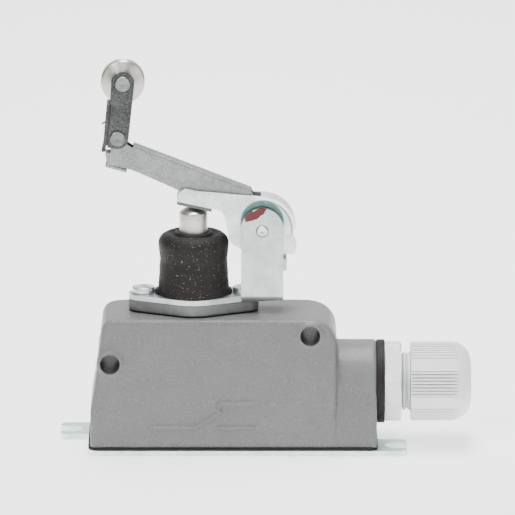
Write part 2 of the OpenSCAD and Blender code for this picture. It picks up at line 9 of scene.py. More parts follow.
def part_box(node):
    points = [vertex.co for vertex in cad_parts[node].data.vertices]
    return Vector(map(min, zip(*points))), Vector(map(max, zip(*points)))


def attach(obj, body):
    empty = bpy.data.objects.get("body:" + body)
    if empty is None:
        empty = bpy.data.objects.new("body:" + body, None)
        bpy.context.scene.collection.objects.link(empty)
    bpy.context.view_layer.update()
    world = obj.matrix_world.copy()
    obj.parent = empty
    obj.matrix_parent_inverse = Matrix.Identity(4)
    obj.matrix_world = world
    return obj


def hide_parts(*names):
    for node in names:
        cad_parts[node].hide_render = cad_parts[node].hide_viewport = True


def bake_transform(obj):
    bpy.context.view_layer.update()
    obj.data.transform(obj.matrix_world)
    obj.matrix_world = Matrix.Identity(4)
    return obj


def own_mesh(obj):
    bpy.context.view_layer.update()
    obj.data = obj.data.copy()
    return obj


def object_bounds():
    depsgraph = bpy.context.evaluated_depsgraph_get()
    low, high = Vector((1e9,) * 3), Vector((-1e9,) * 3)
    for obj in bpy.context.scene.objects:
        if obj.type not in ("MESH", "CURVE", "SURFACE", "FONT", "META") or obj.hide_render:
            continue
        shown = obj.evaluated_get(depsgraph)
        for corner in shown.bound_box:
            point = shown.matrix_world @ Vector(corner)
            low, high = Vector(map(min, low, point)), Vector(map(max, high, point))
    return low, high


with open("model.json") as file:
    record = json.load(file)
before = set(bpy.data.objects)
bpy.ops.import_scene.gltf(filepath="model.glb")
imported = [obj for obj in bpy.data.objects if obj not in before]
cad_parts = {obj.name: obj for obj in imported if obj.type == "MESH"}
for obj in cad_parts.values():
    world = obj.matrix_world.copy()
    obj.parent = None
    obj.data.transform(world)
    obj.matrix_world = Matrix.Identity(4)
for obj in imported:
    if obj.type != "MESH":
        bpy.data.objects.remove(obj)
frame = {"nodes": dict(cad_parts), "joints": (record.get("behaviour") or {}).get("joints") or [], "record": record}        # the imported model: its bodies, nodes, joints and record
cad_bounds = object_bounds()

MM = 0.001               # every shape below is drawn in millimetres


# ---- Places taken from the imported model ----

def span(node):
    """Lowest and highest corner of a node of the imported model, in millimetres."""
    low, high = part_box(node)
    return low / MM, high / MM


def joint_place(name):
    """X and Z of a joint's axis, in millimetres."""
    place = next(joint["pos_m"] for joint in frame["joints"] if joint["name"] == name)
    return place[0] / MM, place[2] / MM


def fixing_holes():
    """X, Z and half the length of the two fixing holes through the housing."""
    mounts = {mount["name"]: mount for mount in frame["record"]["mounts"]}
    for name in ("fixing_hole_left", "fixing_hole_right"):
        place = mounts[name]["pos_m"]
        yield place[0] / MM, place[2] / MM, mounts[name]["dims"]["length_mm"] / 2


PIVOT = joint_place("lever_pivot")
RIVET = joint_place("link_pivot")
ROLLER = joint_place("roller_spin")
HEAD_X = (span("plunger")[0].x + span("plunger")[1].x) / 2
ENTRY_Z = (span("gland_washer")[0].z + span("gland_washer")[1].z) / 2
CASE_LOW, CASE_HIGH = span("housing")
HEAD_SCREW_R = 3.2       # a head screw's head
SCREW_DX = span("head_screws")[1].x - HEAD_X - HEAD_SCREW_R    # from the plunger to a head screw
BASE_SCREW_R = 2.4       # a base screw's head
LEAN = math.atan2(ROLLER[0] - RIVET[0], ROLLER[1] - RIVET[1])
FLAT_TURN = math.radians(20.7)    # where the cap nut's first flat lies, round from the back


# ---- Shape tools ----

def arc(centre, radius, start, end, steps=8):
    """Points of an arc; the angles are in degrees."""
    turns = [math.radians(start + (end - start) * i / steps) for i in range(steps + 1)]
    return [(centre[0] + radius * math.cos(a), centre[1] + radius * math.sin(a)) for a in turns]


def arc_along(centre, radius, steps):
    """A dome's profile from its side round to its end, as (radius, place)."""
    return [(centre[0] + radius * math.cos(math.pi / 2 * i / steps),
             centre[1] + radius * math.sin(math.pi / 2 * i / steps)) for i in range(steps + 1)]


def refined(points, step):
    """The same line with extra points, none further apart than step."""
    line = [points[0]]
    for a, b in zip(points, points[1:]):
        count = max(1, math.ceil(math.dist(a, b) / step))
        line += [tuple(p + (q - p) * i / count for p, q in zip(a, b)) for i in range(1, count + 1)]
    return line


def placed(name, data):
    """A new object in the scene."""
    piece = bpy.data.objects.new(name, data)
    bpy.context.scene.collection.objects.link(piece)
    return piece


def meshed(name, bm):
    """Turns a bmesh into an object and frees it."""
    mesh = bpy.data.meshes.new(name)
    bm.to_mesh(mesh)
    bm.free()
    return placed(name, mesh)


def made(name, bm):
    """Turns a bmesh drawn in millimetres into an object in metres, with its faces outwards."""
    bmesh.ops.remove_doubles(bm, verts=bm.verts, dist=1e-4)
    bmesh.ops.recalc_face_normals(bm, faces=bm.faces)
    bmesh.ops.scale(bm, vec=(MM, MM, MM), verts=bm.verts)
    return meshed(name, bm)


def loft(name, rings, ends="capped"):
    """Skins a row of closed rings; the ends are capped, joined to each other or left open."""
    bm = bmesh.new()
    rows = [[bm.verts.new(p) for p in ring] for ring in rings]
    pairs = list(zip(rows, rows[1:]))
    if ends == "joined":
        pairs.append((rows[-1], rows[0]))
    for a, b in pairs:
        for i in range(len(a)):
            j = (i + 1) % len(a)
            bm.faces.new((a[i], a[j], b[j], b[i]))
    if ends == "capped":
        bm.faces.new(rows[0])
        bm.faces.new(rows[-1])
    return made(name, bm)


def prism(name, outline, axis, low, high):
    """An outline drawn straight from low to high along an axis."""
    place = {
        "x": lambda p, h: (h, p[0], p[1]),
        "y": lambda p, h: (p[0], h, p[1]),
        "z": lambda p, h: (p[0], p[1], h),
    }[axis]
    return loft(name, [[place(p, h) for p in outline] for h in (low, high)])


def block(name, low, high):
    return prism(name, [(low[0], low[1]), (high[0], low[1]), (high[0], high[1]), (low[0], high[1])],
                 "z", low[2], high[2])


def rod(centre, radius, axis, low, high, sides=60):
    """A plain round bar, for boring holes and for pillars."""
    return prism("rod", arc(centre, radius, 0, 360 - 360 / sides, sides - 1), axis, low, high)


def lathe(name, profile, axis, centre, steps=64, shape=None, closed=False):
    """Turns a profile of (radius, place) about an axis; shape may change a radius round the turn."""
    place = {
        "x": lambda r, a, h: (h, centre[0] + r * math.cos(a), centre[1] + r * math.sin(a)),
        "y": lambda r, a, h: (centre[0] + r * math.cos(a), h, centre[1] + r * math.sin(a)),
        "z": lambda r, a, h: (centre[0] + r * math.cos(a), centre[1] + r * math.sin(a), h),
    }[axis]
    rings = []
    for radius, along in profile:
        turns = [2 * math.pi * i / steps for i in range(steps)]
        radii = [shape(radius, along, a) if shape else radius for a in turns]
        rings.append([place(r, a, along) for r, a in zip(radii, turns)])
    return loft(name, rings, "joined" if closed else "open")


def wire(name, points, radius):
    """A round wire along a line of points, with closed ends."""
    curve = bpy.data.curves.new(name, "CURVE")
    curve.dimensions = "3D"
    curve.bevel_depth = radius * MM
    curve.bevel_resolution = 3
    curve.use_fill_caps = True
    spline = curve.splines.new("POLY")
    spline.points.add(len(points) - 1)
    for spot, p in zip(spline.points, points):
        spot.co = (p[0] * MM, p[1] * MM, p[2] * MM, 1)
    line = placed(name + "_line", curve)
    mesh = bpy.data.meshes.new_from_object(line.evaluated_get(bpy.context.evaluated_depsgraph_get()))
    piece = placed(name, mesh)
    bpy.data.objects.remove(line)
    return piece


def modified(piece, kind, **settings):
    """Adds a modifier and applies it."""
    modifier = piece.modifiers.new(kind, kind)
    for name, value in settings.items():
        setattr(modifier, name, value)
    graph = bpy.context.evaluated_depsgraph_get()
    mesh = bpy.data.meshes.new_from_object(piece.evaluated_get(graph))
    piece.modifiers.clear()
    piece.data = mesh
    return piece


def bevelled(piece, width, segments=3, angle=40):
    return modified(piece, "BEVEL", width=width * MM, segments=segments, limit_method="ANGLE",
                    angle_limit=math.radians(angle))


def combined(piece, *others, how="DIFFERENCE"):
    """Cuts the others out of a piece, or adds them to it, and removes them."""
    for other in others:
        modified(piece, "BOOLEAN", operation=how, solver="EXACT", object=other)
        bpy.data.objects.remove(other)
    return piece


def joined(name, parts):
    """Several closed shapes as one object."""
    bm = bmesh.new()
    for part in parts:
        bm.from_mesh(part.data)
        bpy.data.objects.remove(part)
    return meshed(name, bm)


def folded(name, panels, thickness, bend):
    """A sheet part from flat panels that share edges: it rounds the bends and thickens inwards."""
    bm = bmesh.new()
    for panel in panels:
        bm.faces.new([bm.verts.new(p) for p in panel])
    bmesh.ops.remove_doubles(bm, verts=bm.verts, dist=1e-3)
    bmesh.ops.recalc_face_normals(bm, faces=bm.faces)
    bm.faces.ensure_lookup_table()
    front = bm.faces[0]
    if front.normal.y * front.calc_center_median().y < 0:
        bmesh.ops.reverse_faces(bm, faces=bm.faces)
    bends = [e for e in bm.edges if len(e.link_faces) == 2 and e.calc_face_angle() > math.radians(50)]
    bmesh.ops.bevel(bm, geom=bends, offset=bend, offset_type="OFFSET", segments=5, profile=0.5,
                    affect="EDGES", clamp_overlap=True)
    bmesh.ops.scale(bm, vec=(MM, MM, MM), verts=bm.verts)
    return modified(meshed(name, bm), "SOLIDIFY", thickness=thickness * MM, offset=-1,
                    use_even_offset=True)


def smoothed(piece, angle=42):
    """Smooth shading with sharp edges kept where faces meet at more than the angle."""
    piece.data.shade_smooth()
    piece.data.set_sharp_from_angle(angle=math.radians(angle))
    return modified(piece, "WEIGHTED_NORMAL", keep_sharp=True)


# ---- Shader tools ----

class Value:
    """An output socket that takes part in Python sums."""

    def __init__(self, graph, socket):
        self.graph = graph
        self.socket = socket

    def maths(self, operation, *terms):
        return self.graph.node("ShaderNodeMath", {"operation": operation}, dict(enumerate(terms)))

    def sine(self):
        return self.maths("SINE", self)

    def other(self, output):
        """Another output of the same node."""
        return Value(self.graph, self.socket.node.outputs[output])

    def __add__(self, term):
        return self.maths("ADD", self, term)

    def __sub__(self, term):
        return self.maths("SUBTRACT", self, term)

    def __rsub__(self, term):
        return self.maths("SUBTRACT", term, self)

    def __mul__(self, term):
        return self.maths("MULTIPLY", self, term)

    __radd__ = __add__
    __rmul__ = __mul__


class Graph:
    """A node tree that is written as sums of its nodes' values."""

    def __init__(self, tree):
        self.tree = tree

    def node(self, kind, settings=None, inputs=None, output=0):
        """Adds a node: first its settings, then the values or links of its sockets."""
        node = self.tree.nodes.new(kind)
        for name, value in (settings or {}).items():
            setattr(node, name, value)
        for name, value in (inputs or {}).items():
            if isinstance(value, Value):
                self.tree.links.new(value.socket, node.inputs[name])
            else:
                node.inputs[name].default_value = value
        return Value(self, node.outputs[output]) if node.outputs else None

    def mix(self, factor, a, b):
        """From colour a to colour b."""
        a, b = [c if isinstance(c, Value) else (*c, 1) for c in (a, b)]
        return self.node("ShaderNodeMix", {"data_type": "RGBA"}, {0: factor, 6: a, 7: b}, 2)

    def ramp(self, value, low, high):
        """0 below low and 1 above high, with a soft step between; high may be the smaller."""
        return self.node("ShaderNodeMapRange", {"interpolation_type": "SMOOTHSTEP"},
                         {"Value": value, "From Min": low, "From Max": high})


class Finish(Graph):
    """A procedural material; its patterns are laid out in millimetres on the piece."""

    def __init__(self, name, constants):
        material = bpy.data.materials.new(name)
        material.use_nodes = True
        super().__init__(material.node_tree)
        self.material = material
        self.surface = self.tree.nodes["Principled BSDF"]
        for socket, value in constants.items():
            self.surface.inputs[socket].default_value = value
        place = self.node("ShaderNodeTexCoord", output="Object")
        self.place = self.node("ShaderNodeVectorMath", {"operation": "SCALE"}, {0: place, "Scale": 1 / MM})

    def noise(self, scale, detail=2, rough=0.5, stretch=None):
        """Noise from 0 to 1 with scale cells to the millimetre, drawn out by stretch if given."""
        place = self.place
        if stretch:
            place = self.node("ShaderNodeVectorMath", {"operation": "MULTIPLY"}, {0: place, 1: stretch})
        return self.node("ShaderNodeTexNoise", {}, {"Vector": place, "Scale": scale, "Detail": detail,
                                                   "Roughness": rough})

    def reach(self, centre, squeeze=(1, 1, 1)):
        """Distance from a point, with each axis weighted by squeeze."""
        away = self.node("ShaderNodeVectorMath", {"operation": "SUBTRACT"}, {0: self.place, 1: centre})
        away = self.node("ShaderNodeVectorMath", {"operation": "MULTIPLY"}, {0: away, 1: squeeze})
        return self.node("ShaderNodeVectorMath", {"operation": "LENGTH"}, {0: away}, 1)

    def edges(self, low, high):
        """1 on outward edges and 0 on flats."""
        return self.ramp(self.node("ShaderNodeNewGeometry", output="Pointiness"), low, high)

    def feed(self, socket, value):
        self.tree.links.new(value.socket, self.surface.inputs[socket])

    def fed(self, socket):
        """What feeds a socket of the surface so far."""
        return Value(self, self.surface.inputs[socket].links[0].from_socket)

    def bump(self, height, depth):
        """Bump from a height of 0 to 1 that stands for depth millimetres."""
        self.feed("Normal", self.node("ShaderNodeBump", {}, {
            "Strength": 1.0, "Distance": depth * MM, "Height": height}))


# ---- Materials ----

def cast_paint():
    """Grey satin paint on a casting: orange peel, small pimples and faint clouds."""
    f = Finish("cast_paint", {"Coat Roughness": 0.1, "Specular IOR Level": 0.3})
    cloud = f.noise(0.09, 4, 0.6)
    peel = f.noise(1.3, 3, 0.55)
    speck = f.noise(2.4, 2, 0.6)
    pimple = f.ramp(f.noise(1.9, 1), 0.66, 0.78)
    base = f.mix(0.75 * speck + 0.25 * cloud, (0.088, 0.088, 0.09), (0.205, 0.205, 0.208))
    base = f.mix(f.ramp(speck, 0.66, 0.74) * 0.5, base, (0.42, 0.42, 0.42))
    # painted highlight: the paint is lightened along outward edges, where light catches them
    base = f.mix(f.edges(0.53, 0.6) * 0.35, base, (0.34, 0.34, 0.34))
    # painted shade: the inside of each fixing hole is darkened to a deep brownish grey
    for x, z, _ in fixing_holes():
        bore = f.ramp(f.reach((x, 0, z), (1, 0, 1)), 3.0, 2.75)
        base = f.mix(bore, base, f.mix(speck, (0.008, 0.006, 0.006), (0.07, 0.055, 0.055)))
    f.feed("Base Color", base)
    f.feed("Roughness", 0.36 + 0.14 * peel - 0.1 * pimple)
    f.feed("Coat Weight", 0.12 + 0.7 * pimple)
    f.bump(peel + 0.6 * pimple + 0.3 * speck, 0.32)
    return f.material


def cast_bare():
    """Bare die casting: matt metal with soft stains and pores."""
    f = Finish("cast_bare", {"Specular IOR Level": 0.4})
    stain = f.noise(0.35, 4, 0.65)
    pores = f.ramp(f.noise(4.5, 2), 0.38, 0.3)
    base = f.mix(stain, (0.11, 0.115, 0.115), (0.24, 0.245, 0.245))
    f.feed("Base Color", f.mix(pores * 0.5, base, (0.09, 0.09, 0.09)))
    f.feed("Metallic", 0.35 + 0.25 * stain)
    f.feed("Roughness", 0.5 + 0.2 * f.noise(2.5, 3))
    f.bump(f.noise(2.2, 4, 0.6) - 0.5 * pores, 0.12)
    return f.material


def plated(name, light, shade, roughness, grain, tint=(0.46, 0.6, 0.58)):
    """Zinc plate: soft blooms with a cool tint, fine scratches and a grain of a given strength."""
    f = Finish(name, {})
    bloom = f.noise(0.2, 4, 0.65)
    speck = f.noise(2.1, 3, 0.7)
    scratch = f.noise(1.0, 3, 0.7, (1, 1, 0.16))
    base = f.mix(f.ramp(bloom, 0.35, 0.65), light, shade)
    base = f.mix(f.ramp(f.noise(0.33, 2), 0.54, 0.74) * 0.45, base, tint)
    base = f.mix(f.ramp(speck, 0.5, 0.72) * grain, base, tuple(min(1, 1.6 * c) for c in light))
    base = f.mix(f.ramp(speck, 0.5, 0.3) * grain, base, tuple(0.35 * c for c in shade))
    f.feed("Base Color", base)
    f.feed("Metallic", 0.97 - 0.1 * bloom)
    f.feed("Roughness", roughness + 0.14 * scratch + 0.16 * (bloom - 0.5))
    f.bump(grain * speck + 0.35 * scratch + 0.3 * bloom, 0.09)
    return f


def zinc():
    return plated("zinc", (0.78, 0.82, 0.82), (0.62, 0.67, 0.67), 0.28, 0.14).material


def zinc_grain():
    return plated("zinc_grain", (0.32, 0.33, 0.33), (0.24, 0.25, 0.25), 0.38, 0.65,
                  (0.24, 0.29, 0.28)).material


def dark_steel():
    return plated("dark_steel", (0.095, 0.098, 0.098), (0.06, 0.063, 0.063), 0.36, 0.8,
                  (0.08, 0.1, 0.095)).material


def marked_zinc():
    """The bracket's plate with a dab of red sealing paint across the top of its front ear."""
    f = plated("zinc_marked", (0.58, 0.62, 0.62), (0.46, 0.5, 0.5), 0.28, 0.16)
    ragged = f.noise(0.55, 3, 0.6)
    dab = f.reach((PIVOT[0] - 1.9, -5.2, PIVOT[1] + 4.9), (1, 1, 1))
    middle = (PIVOT[0] - 2.1, -5.2, PIVOT[1] + 4.8)
    along = f.node("ShaderNodeVectorRotate", {"rotation_type": "Y_AXIS"},
                   {"Vector": f.place, "Center": middle, "Angle": math.radians(28)})
    away = f.node("ShaderNodeVectorMath", {"operation": "SUBTRACT"}, {0: along, 1: middle})
    oval = f.node("ShaderNodeVectorMath", {"operation": "MULTIPLY"}, {0: away, 1: (0.29, 1, 0.8)})
    size = f.node("ShaderNodeVectorMath", {"operation": "LENGTH"}, {0: oval}, 1)
    paint = f.ramp(size + 1.3 * (ragged - 0.5), 1.04, 0.98) * f.ramp(dab, 5.5, 5.0)
    red = f.mix(f.noise(1.4, 3), (0.06, 0, 0), (0.12, 0.001, 0.002))
    f.feed("Base Color", f.mix(paint, f.fed("Base Color"), red))
    f.feed("Metallic", f.fed("Metallic") * (1 - paint))
    return f.material


def hub_zinc():
    """The hub lever's plate, with a painted dark arch of shade and reflection above the bracket's ear, a
    painted shade line inside its rolled rim and a painted highlight on the rim.
    """
    f = plated("zinc_hub", (0.78, 0.82, 0.82), (0.6, 0.65, 0.65), 0.26, 0.2)
    ring = f.reach((PIVOT[0], 0, PIVOT[1] + 2.4), (1, 0, 1))
    # painted shade and reflection: a blotchy dark teal arch just above the bracket's ear
    ear_shade_arch = f.ramp(ring, 6.45, 5.9) * f.ramp(f.noise(0.4, 3), 0.1, 0.35)
    base = f.mix(ear_shade_arch * 0.9, f.fed("Base Color"), (0.02, 0.1, 0.09))
    radius = f.reach((PIVOT[0], 0, PIVOT[1]), (1, 0, 1))
    side = f.node("ShaderNodeSeparateXYZ", {}, {0: f.place})
    upper = f.ramp(side, PIVOT[0] - 3, PIVOT[0]) * f.ramp(side.other(2), PIVOT[1] - 3, PIVOT[1])
    # painted shade: a dark line where the rolled rim turns from the flat cheek
    crease_shade = f.ramp(radius, 7.95, 8.3) * f.ramp(radius, 8.75, 8.5) * upper
    base = f.mix(crease_shade * 0.75, base, (0.12, 0.17, 0.17))
    # painted highlight: the rolled rim round the top of the hub is lightened nearly to white
    f.feed("Base Color", f.mix(f.ramp(radius, 8.7, 8.9) * upper, base, (0.9, 0.93, 0.93)))
    return f.material


def turned(name):
    """Steel faced on a lathe about its own Z: its marks run in rings and stretch the reflections."""
    f = Finish(name, {"Anisotropic": 0.9, "Anisotropic Rotation": 0.25})
    turns = f.reach((0, 0, 0), (1, 1, 0)) * 14
    bloom = f.noise(0.3, 3)
    f.feed("Base Color", f.mix(bloom, (0.5, 0.47, 0.43), (0.72, 0.7, 0.66)))
    f.feed("Metallic", 1 - 0.06 * bloom)
    f.feed("Roughness", 0.3 + 0.12 * f.noise(1.5, 2))
    f.bump(0.5 + 0.5 * turns.sine() + 0.3 * f.noise(2.2, 2), 0.012)
    return f.material


def turned_steel():
    """Turned and ground steel, with fine marks round the plunger."""
    f = Finish("turned_steel", {})
    mark = f.noise(1.1, 4, 0.7, (0.25, 0.25, 4.5))
    stain = f.noise(0.4, 3)
    f.feed("Base Color", f.mix(stain, (0.56, 0.53, 0.49), (0.7, 0.67, 0.62)))
    f.feed("Metallic", 1 - 0.08 * stain)
    f.feed("Roughness", 0.22 + 0.16 * mark)
    f.bump(mark, 0.05)
    return f.material


def rubber(name, dust):
    """Black rubber: matt, faintly brown, with pale dust of a given amount."""
    f = Finish(name, {"Specular IOR Level": 0.2})
    cloud = f.noise(0.35, 4, 0.6)
    grain = f.noise(2.4, 3, 0.7)
    speck = f.ramp(f.noise(2.6, 2, 0.7), 0.66, 0.74)
    base = f.mix(cloud, (0.007, 0.0058, 0.0055), (0.017, 0.014, 0.0135))
    f.feed("Base Color", f.mix(speck * dust, base, (0.5, 0.49, 0.47)))
    f.feed("Roughness", 0.42 + 0.25 * grain)
    f.bump(grain + 1.2 * cloud, 0.14)
    return f.material


def plastic(name, dark, light, roughness, depth=0.07):
    """Moulded plastic: even colour with faint flow clouds and a fine spark-eroded skin."""
    f = Finish(name, {"Specular IOR Level": 0.5})
    base = f.mix(f.noise(0.22, 3), dark, light)
    # painted shade: the colour darkens in hollow corners and creases
    f.feed("Base Color", f.mix(f.edges(0.49, 0.45) * 0.75, base, tuple(0.4 * c for c in dark)))
    skin = f.noise(2.2, 3)
    f.feed("Roughness", roughness + 0.14 * skin)
    f.bump(skin, depth)
    return f.material


def metal(name, dark, light, roughness):
    """Plain bright metal with stains and drawn marks."""
    f = Finish(name, {})
    f.feed("Base Color", f.mix(f.noise(0.6, 4, 0.6), dark, light))
    f.feed("Metallic", 1 - 0.1 * f.noise(0.9, 2))
    mark = f.noise(3, 2, 0.6, (1, 1, 5))
    f.feed("Roughness", roughness + 0.15 * mark)
    f.bump(mark, 0.01)
    return f.material


FINISHES = {
    "cast_paint": cast_paint(),
    "cast_bare": cast_bare(),
    "zinc": zinc(),
    "zinc_grain": zinc_grain(),
    "dark_steel": dark_steel(),
    "turned_steel": turned_steel(),
    "black_rubber": rubber("black_rubber", 0.15),
    "gland_plastic": plastic("gland_plastic", (0.72, 0.74, 0.735), (0.78, 0.8, 0.79), 0.3),
    "block_plastic": plastic("block_plastic", (0.07, 0.03, 0.018), (0.1, 0.045, 0.025), 0.4),
    "rod_plastic": plastic("rod_plastic", (0.62, 0.59, 0.5), (0.7, 0.67, 0.58), 0.4),
    "brass": metal("brass", (0.55, 0.36, 0.14), (0.7, 0.5, 0.22), 0.25),
    "spring_steel": metal("spring_steel", (0.36, 0.36, 0.36), (0.55, 0.55, 0.54), 0.25),
}


def dress(piece, node, finish=None, rides=True):
    """Gives a piece its finish, lets it ride on its node's body and hides that node."""
    row = next(part for part in frame["record"]["subparts"] if part["node"] == node)
    piece.data.materials.clear()
    piece.data.materials.append(finish or FINISHES[row["material_slot"]])
    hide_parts(node)
    if rides:
        bodies = frame["record"]["behaviour"]["bodies"]
        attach(piece, next(body for body, nodes in bodies.items() if node in nodes))
    return piece


# ---- Base ----

def base_screw_places():
    """X and Y of the four screws that hold the plate."""
    low, high = span("base_screws")
    return [(x, y) for x in (low.x + BASE_SCREW_R, high.x - BASE_SCREW_R)
            for y in (low.y + BASE_SCREW_R, high.y - BASE_SCREW_R)]


def base_plate():
    """Steel plate with two diagonal tabs, each with a slot that opens at its end."""
    low, high = span("base_plate")
    plate_x = span("base_gasket")[1].x - 0.2
    slot_r = 2.8
    slot_x = high.x - 6.3 + slot_r
    slot_y = low.y + 6.5
    tab_y = low.y + 13
    end = arc((high.x - 2, low.y + 2), 2, -90, 0)
    end += [(high.x, slot_y - slot_r)]
    end += arc((slot_x, slot_y), slot_r, 270, 90, 16)
    end += [(high.x, slot_y + slot_r)]
    end += arc((high.x - 2, tab_y - 2), 2, 0, 90)
    end += arc((plate_x + 0.8, tab_y + 0.8), 0.8, 270, 180, 4)
    end += arc((plate_x - 3, high.y - 3), 3, 0, 90)
    plate = prism("slotted_plate", end + [(-x, -y) for x, y in end], "z", low.z, high.z)
    for place in base_screw_places():
        combined(plate, lathe("sink", [(0, -0.1), (2.55, -0.1), (1.35, 1.2), (1.35, 2), (0, 2)],
                              "z", place, 32))
    bright = plated("zinc_bright", (0.78, 0.88, 0.9), (0.62, 0.73, 0.75), 0.3, 0.12).material
    dress(smoothed(bevelled(plate, 0.22)), "base_plate", bright)


def threaded(radius, low, high, pitch=0.8, depth=0.28):
    """Profile of a threaded shank from low to high."""
    turns = int((high - low) / pitch)
    profile = []
    for i in range(turns):
        start = low + i * pitch
        profile += [(radius - depth, start), (radius, start + 0.4 * pitch), (radius, start + 0.6 * pitch)]
    return profile + [(radius - depth, low + turns * pitch), (radius - depth, high)]


def base_screws():
    """Four countersunk screws with a cross recess."""
    low, high = span("base_screws")
    screws = []
    profile = [(0, low.z), (2.2, low.z), (BASE_SCREW_R, low.z + 0.12), (1.25, low.z + 1.25)]
    profile += threaded(1.25, low.z + 1.4, high.z, 0.5, 0.16) + [(0, high.z)]
    for x, y in base_screw_places():
        screw = lathe("screw", profile, "z", (x, y), 32)
        for dx, dy in ((1.5, 0.22), (0.22, 1.5)):
            combined(screw, block("recess", (x - dx, y - dy, -1), (x + dx, y + dy, 0.7)))
        screws.append(screw)
    dress(smoothed(joined("countersunk_screws", screws)), "base_screws")


# ---- Housing ----

def dip(place, top, radius):
    """How far a rounded edge has drawn in at a place near the top."""
    up = max(0, place - (top - radius))
    return radius - math.sqrt(max(0, radius * radius - up * up))


def between(table, place):
    """Reads a value from a table of (place, value) rows, straight between the rows."""
    for (a, u), (b, v) in zip(table, table[1:]):
        if place <= b:
            return u + (v - u) * (place - a) / (b - a)
    return table[-1][1]


def case_ring(z):
    """The housing's tall part at one height: sharp front corners and rounder back ones."""
    foot, top = CASE_LOW.z, CASE_HIGH.z
    left_side = [(foot, -40.6), (13, -40.5), (19, -39.5), (27, -38.4), (top - 3.4, -37.3), (top, -37.3)]
    left = between(left_side, z) + dip(z, top, 3.4)
    right = 29.4 - dip(z, top, 7)
    depth = between([(foot, 15.3), (top - 1.3, 12.8), (top, 12.8)], z) - dip(z, top, 1.3)
    front, back = 1.5, 3.6
    ring = arc((right - front, front - depth), front, -90, 0, 5)
    ring += arc((right - back, depth - back), back, 0, 90, 7)
    ring += arc((left + back, depth - back), back, 90, 180, 7)
    ring += arc((left + front, front - depth), front, 180, 270, 5)
    return [(x, y, z) for x, y in ring]


def neck_ring(x, inset):
    """The arched neck round the cable entry, at one place along it."""
    foot, r = CASE_LOW.z, 12 - inset
    outline = [(inset - 15.25, foot), *arc((0, ENTRY_Z), r, 180, 0, 24), (15.25 - inset, foot)]
    return [(x, y, z) for y, z in outline]


def case_hollow():
    """The space inside the housing, less the columns and pillars that cross it."""
    top = CASE_HIGH.z
    ceiling, pillar_r = top - 3.5, 2.8
    hollow = block("hollow", (-29.4, -11, -1), (27, 11, ceiling))
    combined(hollow, block("side", (-37, -8, -1), (-28, 8, 19.5)),
             block("way", (26, -7.2, -1), (36.4, 7.2, ENTRY_Z - 3)), how="UNION")
    x, z, _ = list(fixing_holes())[1]
    combined(hollow, rod((x, z), 4.65, "y", -12, 12, 24))
    block_top = span("contact_block")[1].z
    for side in (-1, 1):
        combined(hollow,
                 rod((HEAD_X + side * 12.6, side * 6), pillar_r, "z", block_top, top, 24),
                 rod((HEAD_X + side * SCREW_DX, 0), 4, "z", top - 11, top, 24))
    combined(hollow, rod((18, 8.2), pillar_r, "z", 14, top, 24))
    spigot = rod((HEAD_X, 0), 8.45, "z", ceiling - 1, top + 1)
    entry = rod((0, ENTRY_Z), 8, "x", 25.5, 43)
    combined(hollow, spigot, entry, how="UNION")
    for x, z, _ in fixing_holes():
        combined(hollow, rod((x, z), 2.75, "y", -20, 20), how="UNION")
    return hollow


def stroke_height(x, z, strokes, half_width=0.56, slope=0.26):
    """Height from 0 to 1 of raised strokes at a point of the front face."""
    best = 1e9
    for (ax, az), (bx, bz) in strokes:
        run = (bx - ax) ** 2 + (bz - az) ** 2
        t = max(0, min(1, ((x - ax) * (bx - ax) + (z - az) * (bz - az)) / run))
        best = min(best, math.hypot(x - ax - t * (bx - ax), z - az - t * (bz - az)))
    t = max(0, min(1, (half_width - best) / slope))
    return t * t * (3 - 2 * t)


def emboss_contact_sign(case):
    """Raises a plain changeover contact sign, without lettering, on the front face."""
    low, high = 8.1, 15.1
    strokes = [((-23.6, low), (-10.8, low)), ((-10.8, low), (-3.4, low + 4.6)),
               ((-4.1, low + 4.2), (-4.1, high)), ((-4.1, high), (6, high)), ((-4.1, low), (6, low))]
    bm = bmesh.new()
    bm.from_mesh(case.data)

    def near(p):
        return p.y < -13 and -25 < p.x < 7.5 and low - 1.4 < p.z < high + 1.4
    edges = {edge for face in bm.faces if near(face.calc_center_median() / MM) for edge in face.edges}
    bmesh.ops.subdivide_edges(bm, edges=list(edges), cuts=1, use_grid_fill=True)
    for vert in bm.verts:
        p = vert.co / MM
        if near(p):
            vert.co.y -= 0.55 * MM * stroke_height(p.x, p.z, strokes)
    bm.to_mesh(case.data)
    bm.free()


def housing():
    """Painted casting: a leaning block with an arched neck and two bossed fixing holes."""
    foot, top = CASE_LOW.z, CASE_HIGH.z
    heights = [foot + (top - 7 - foot) * i / 20 for i in range(20)]
    heights += [top - 7 + 7 * math.sin(math.pi * i / 48) for i in range(25)]
    neck = [(28, 0), (CASE_HIGH.x - 0.9, 0), (CASE_HIGH.x - 0.25, 0.3), (CASE_HIGH.x, 0.9)]
    shapes = [loft("tall", [case_ring(z) for z in heights]), loft("neck", [neck_ring(*row) for row in neck])]
    for x, z, half in fixing_holes():
        half += 0.3
        rim = [(0, -half), (3.4, -half), (3.7, 0.3 - half), (3.7, half - 0.3), (3.4, half), (0, half)]
        shapes.append(lathe("boss", rim, "y", (x, z), 40))
    case = joined("housing_casting", shapes)
    modified(case, "REMESH", mode="VOXEL", voxel_size=0.34 * MM, use_smooth_shade=True)
    modified(case, "SMOOTH", factor=0.5, iterations=3)
    emboss_contact_sign(case)
    combined(case, case_hollow())
    case.data.shade_smooth()
    case.data.set_sharp_from_angle(angle=math.radians(50))
    dress(case, "housing")


# ---- Head ----

def head_outline(grow=0.0):
    """Plan of the two-screw head: a round middle with a smaller round end each side."""
    middle, end = 10.4 + grow, 4.2 + grow
    lean = math.degrees(math.asin((middle - end) / SCREW_DX))
    outline = arc((HEAD_X + SCREW_DX, 0), end, lean - 90, 90 - lean, 16)
    outline += arc((HEAD_X, 0), middle, 90 - lean, 90 + lean, 16)
    outline += arc((HEAD_X - SCREW_DX, 0), end, 90 + lean, 270 - lean, 16)
    return outline + arc((HEAD_X, 0), middle, 270 - lean, 270 + lean, 16)


